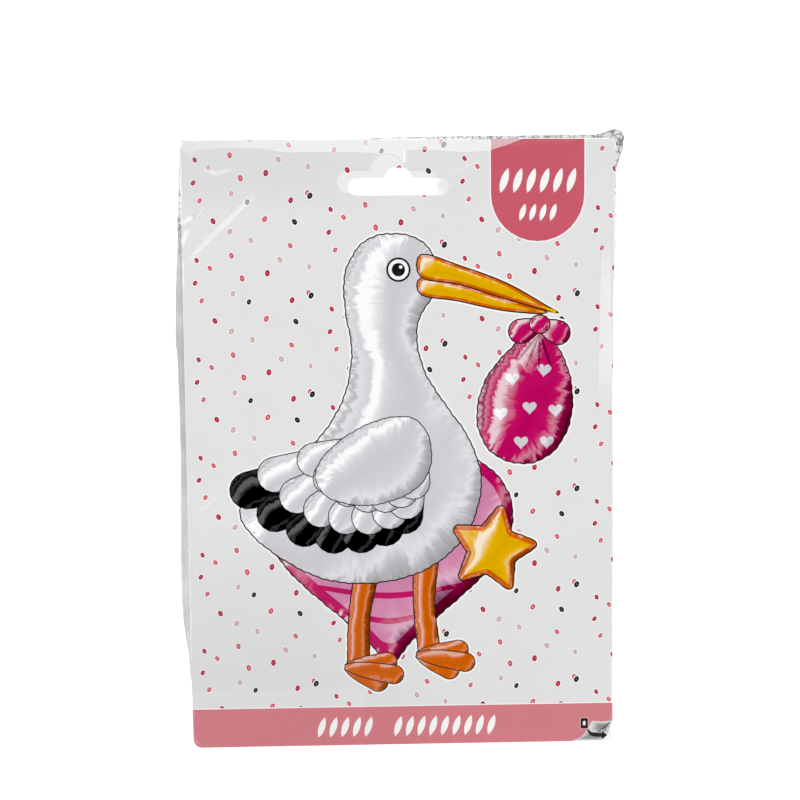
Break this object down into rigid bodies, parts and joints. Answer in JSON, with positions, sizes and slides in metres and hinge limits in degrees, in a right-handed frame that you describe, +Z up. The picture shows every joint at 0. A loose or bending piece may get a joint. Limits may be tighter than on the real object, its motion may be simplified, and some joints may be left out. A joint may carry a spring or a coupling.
{
  "type": "packaged foil balloon",
  "caption": "Folded foil balloon behind a printed card in a flat clear film bag with a hang slot, lying on its back",
  "frame": {"origin": "On the surface that the packet lies on, under the middle of the packet's outline", "axes": "+X to the print's right, +Y to the print's top, where the hang slot is, +Z up, out of the packet's front"},
  "size_m": [0.1542, 0.2138, 0.0056],
  "materials": {
    "card_print": "smooth coated card, white with pink and red print",
    "silver_foil": "satin silver foil, creased from folding",
    "clear_film": "thin clear glossy film with soft waves and creases"
  },
  "bodies": {
    "root": {"printed_card": "card_print", "folded_balloon": "silver_foil", "film_bag": "clear_film"}
  },
  "joints": []
}
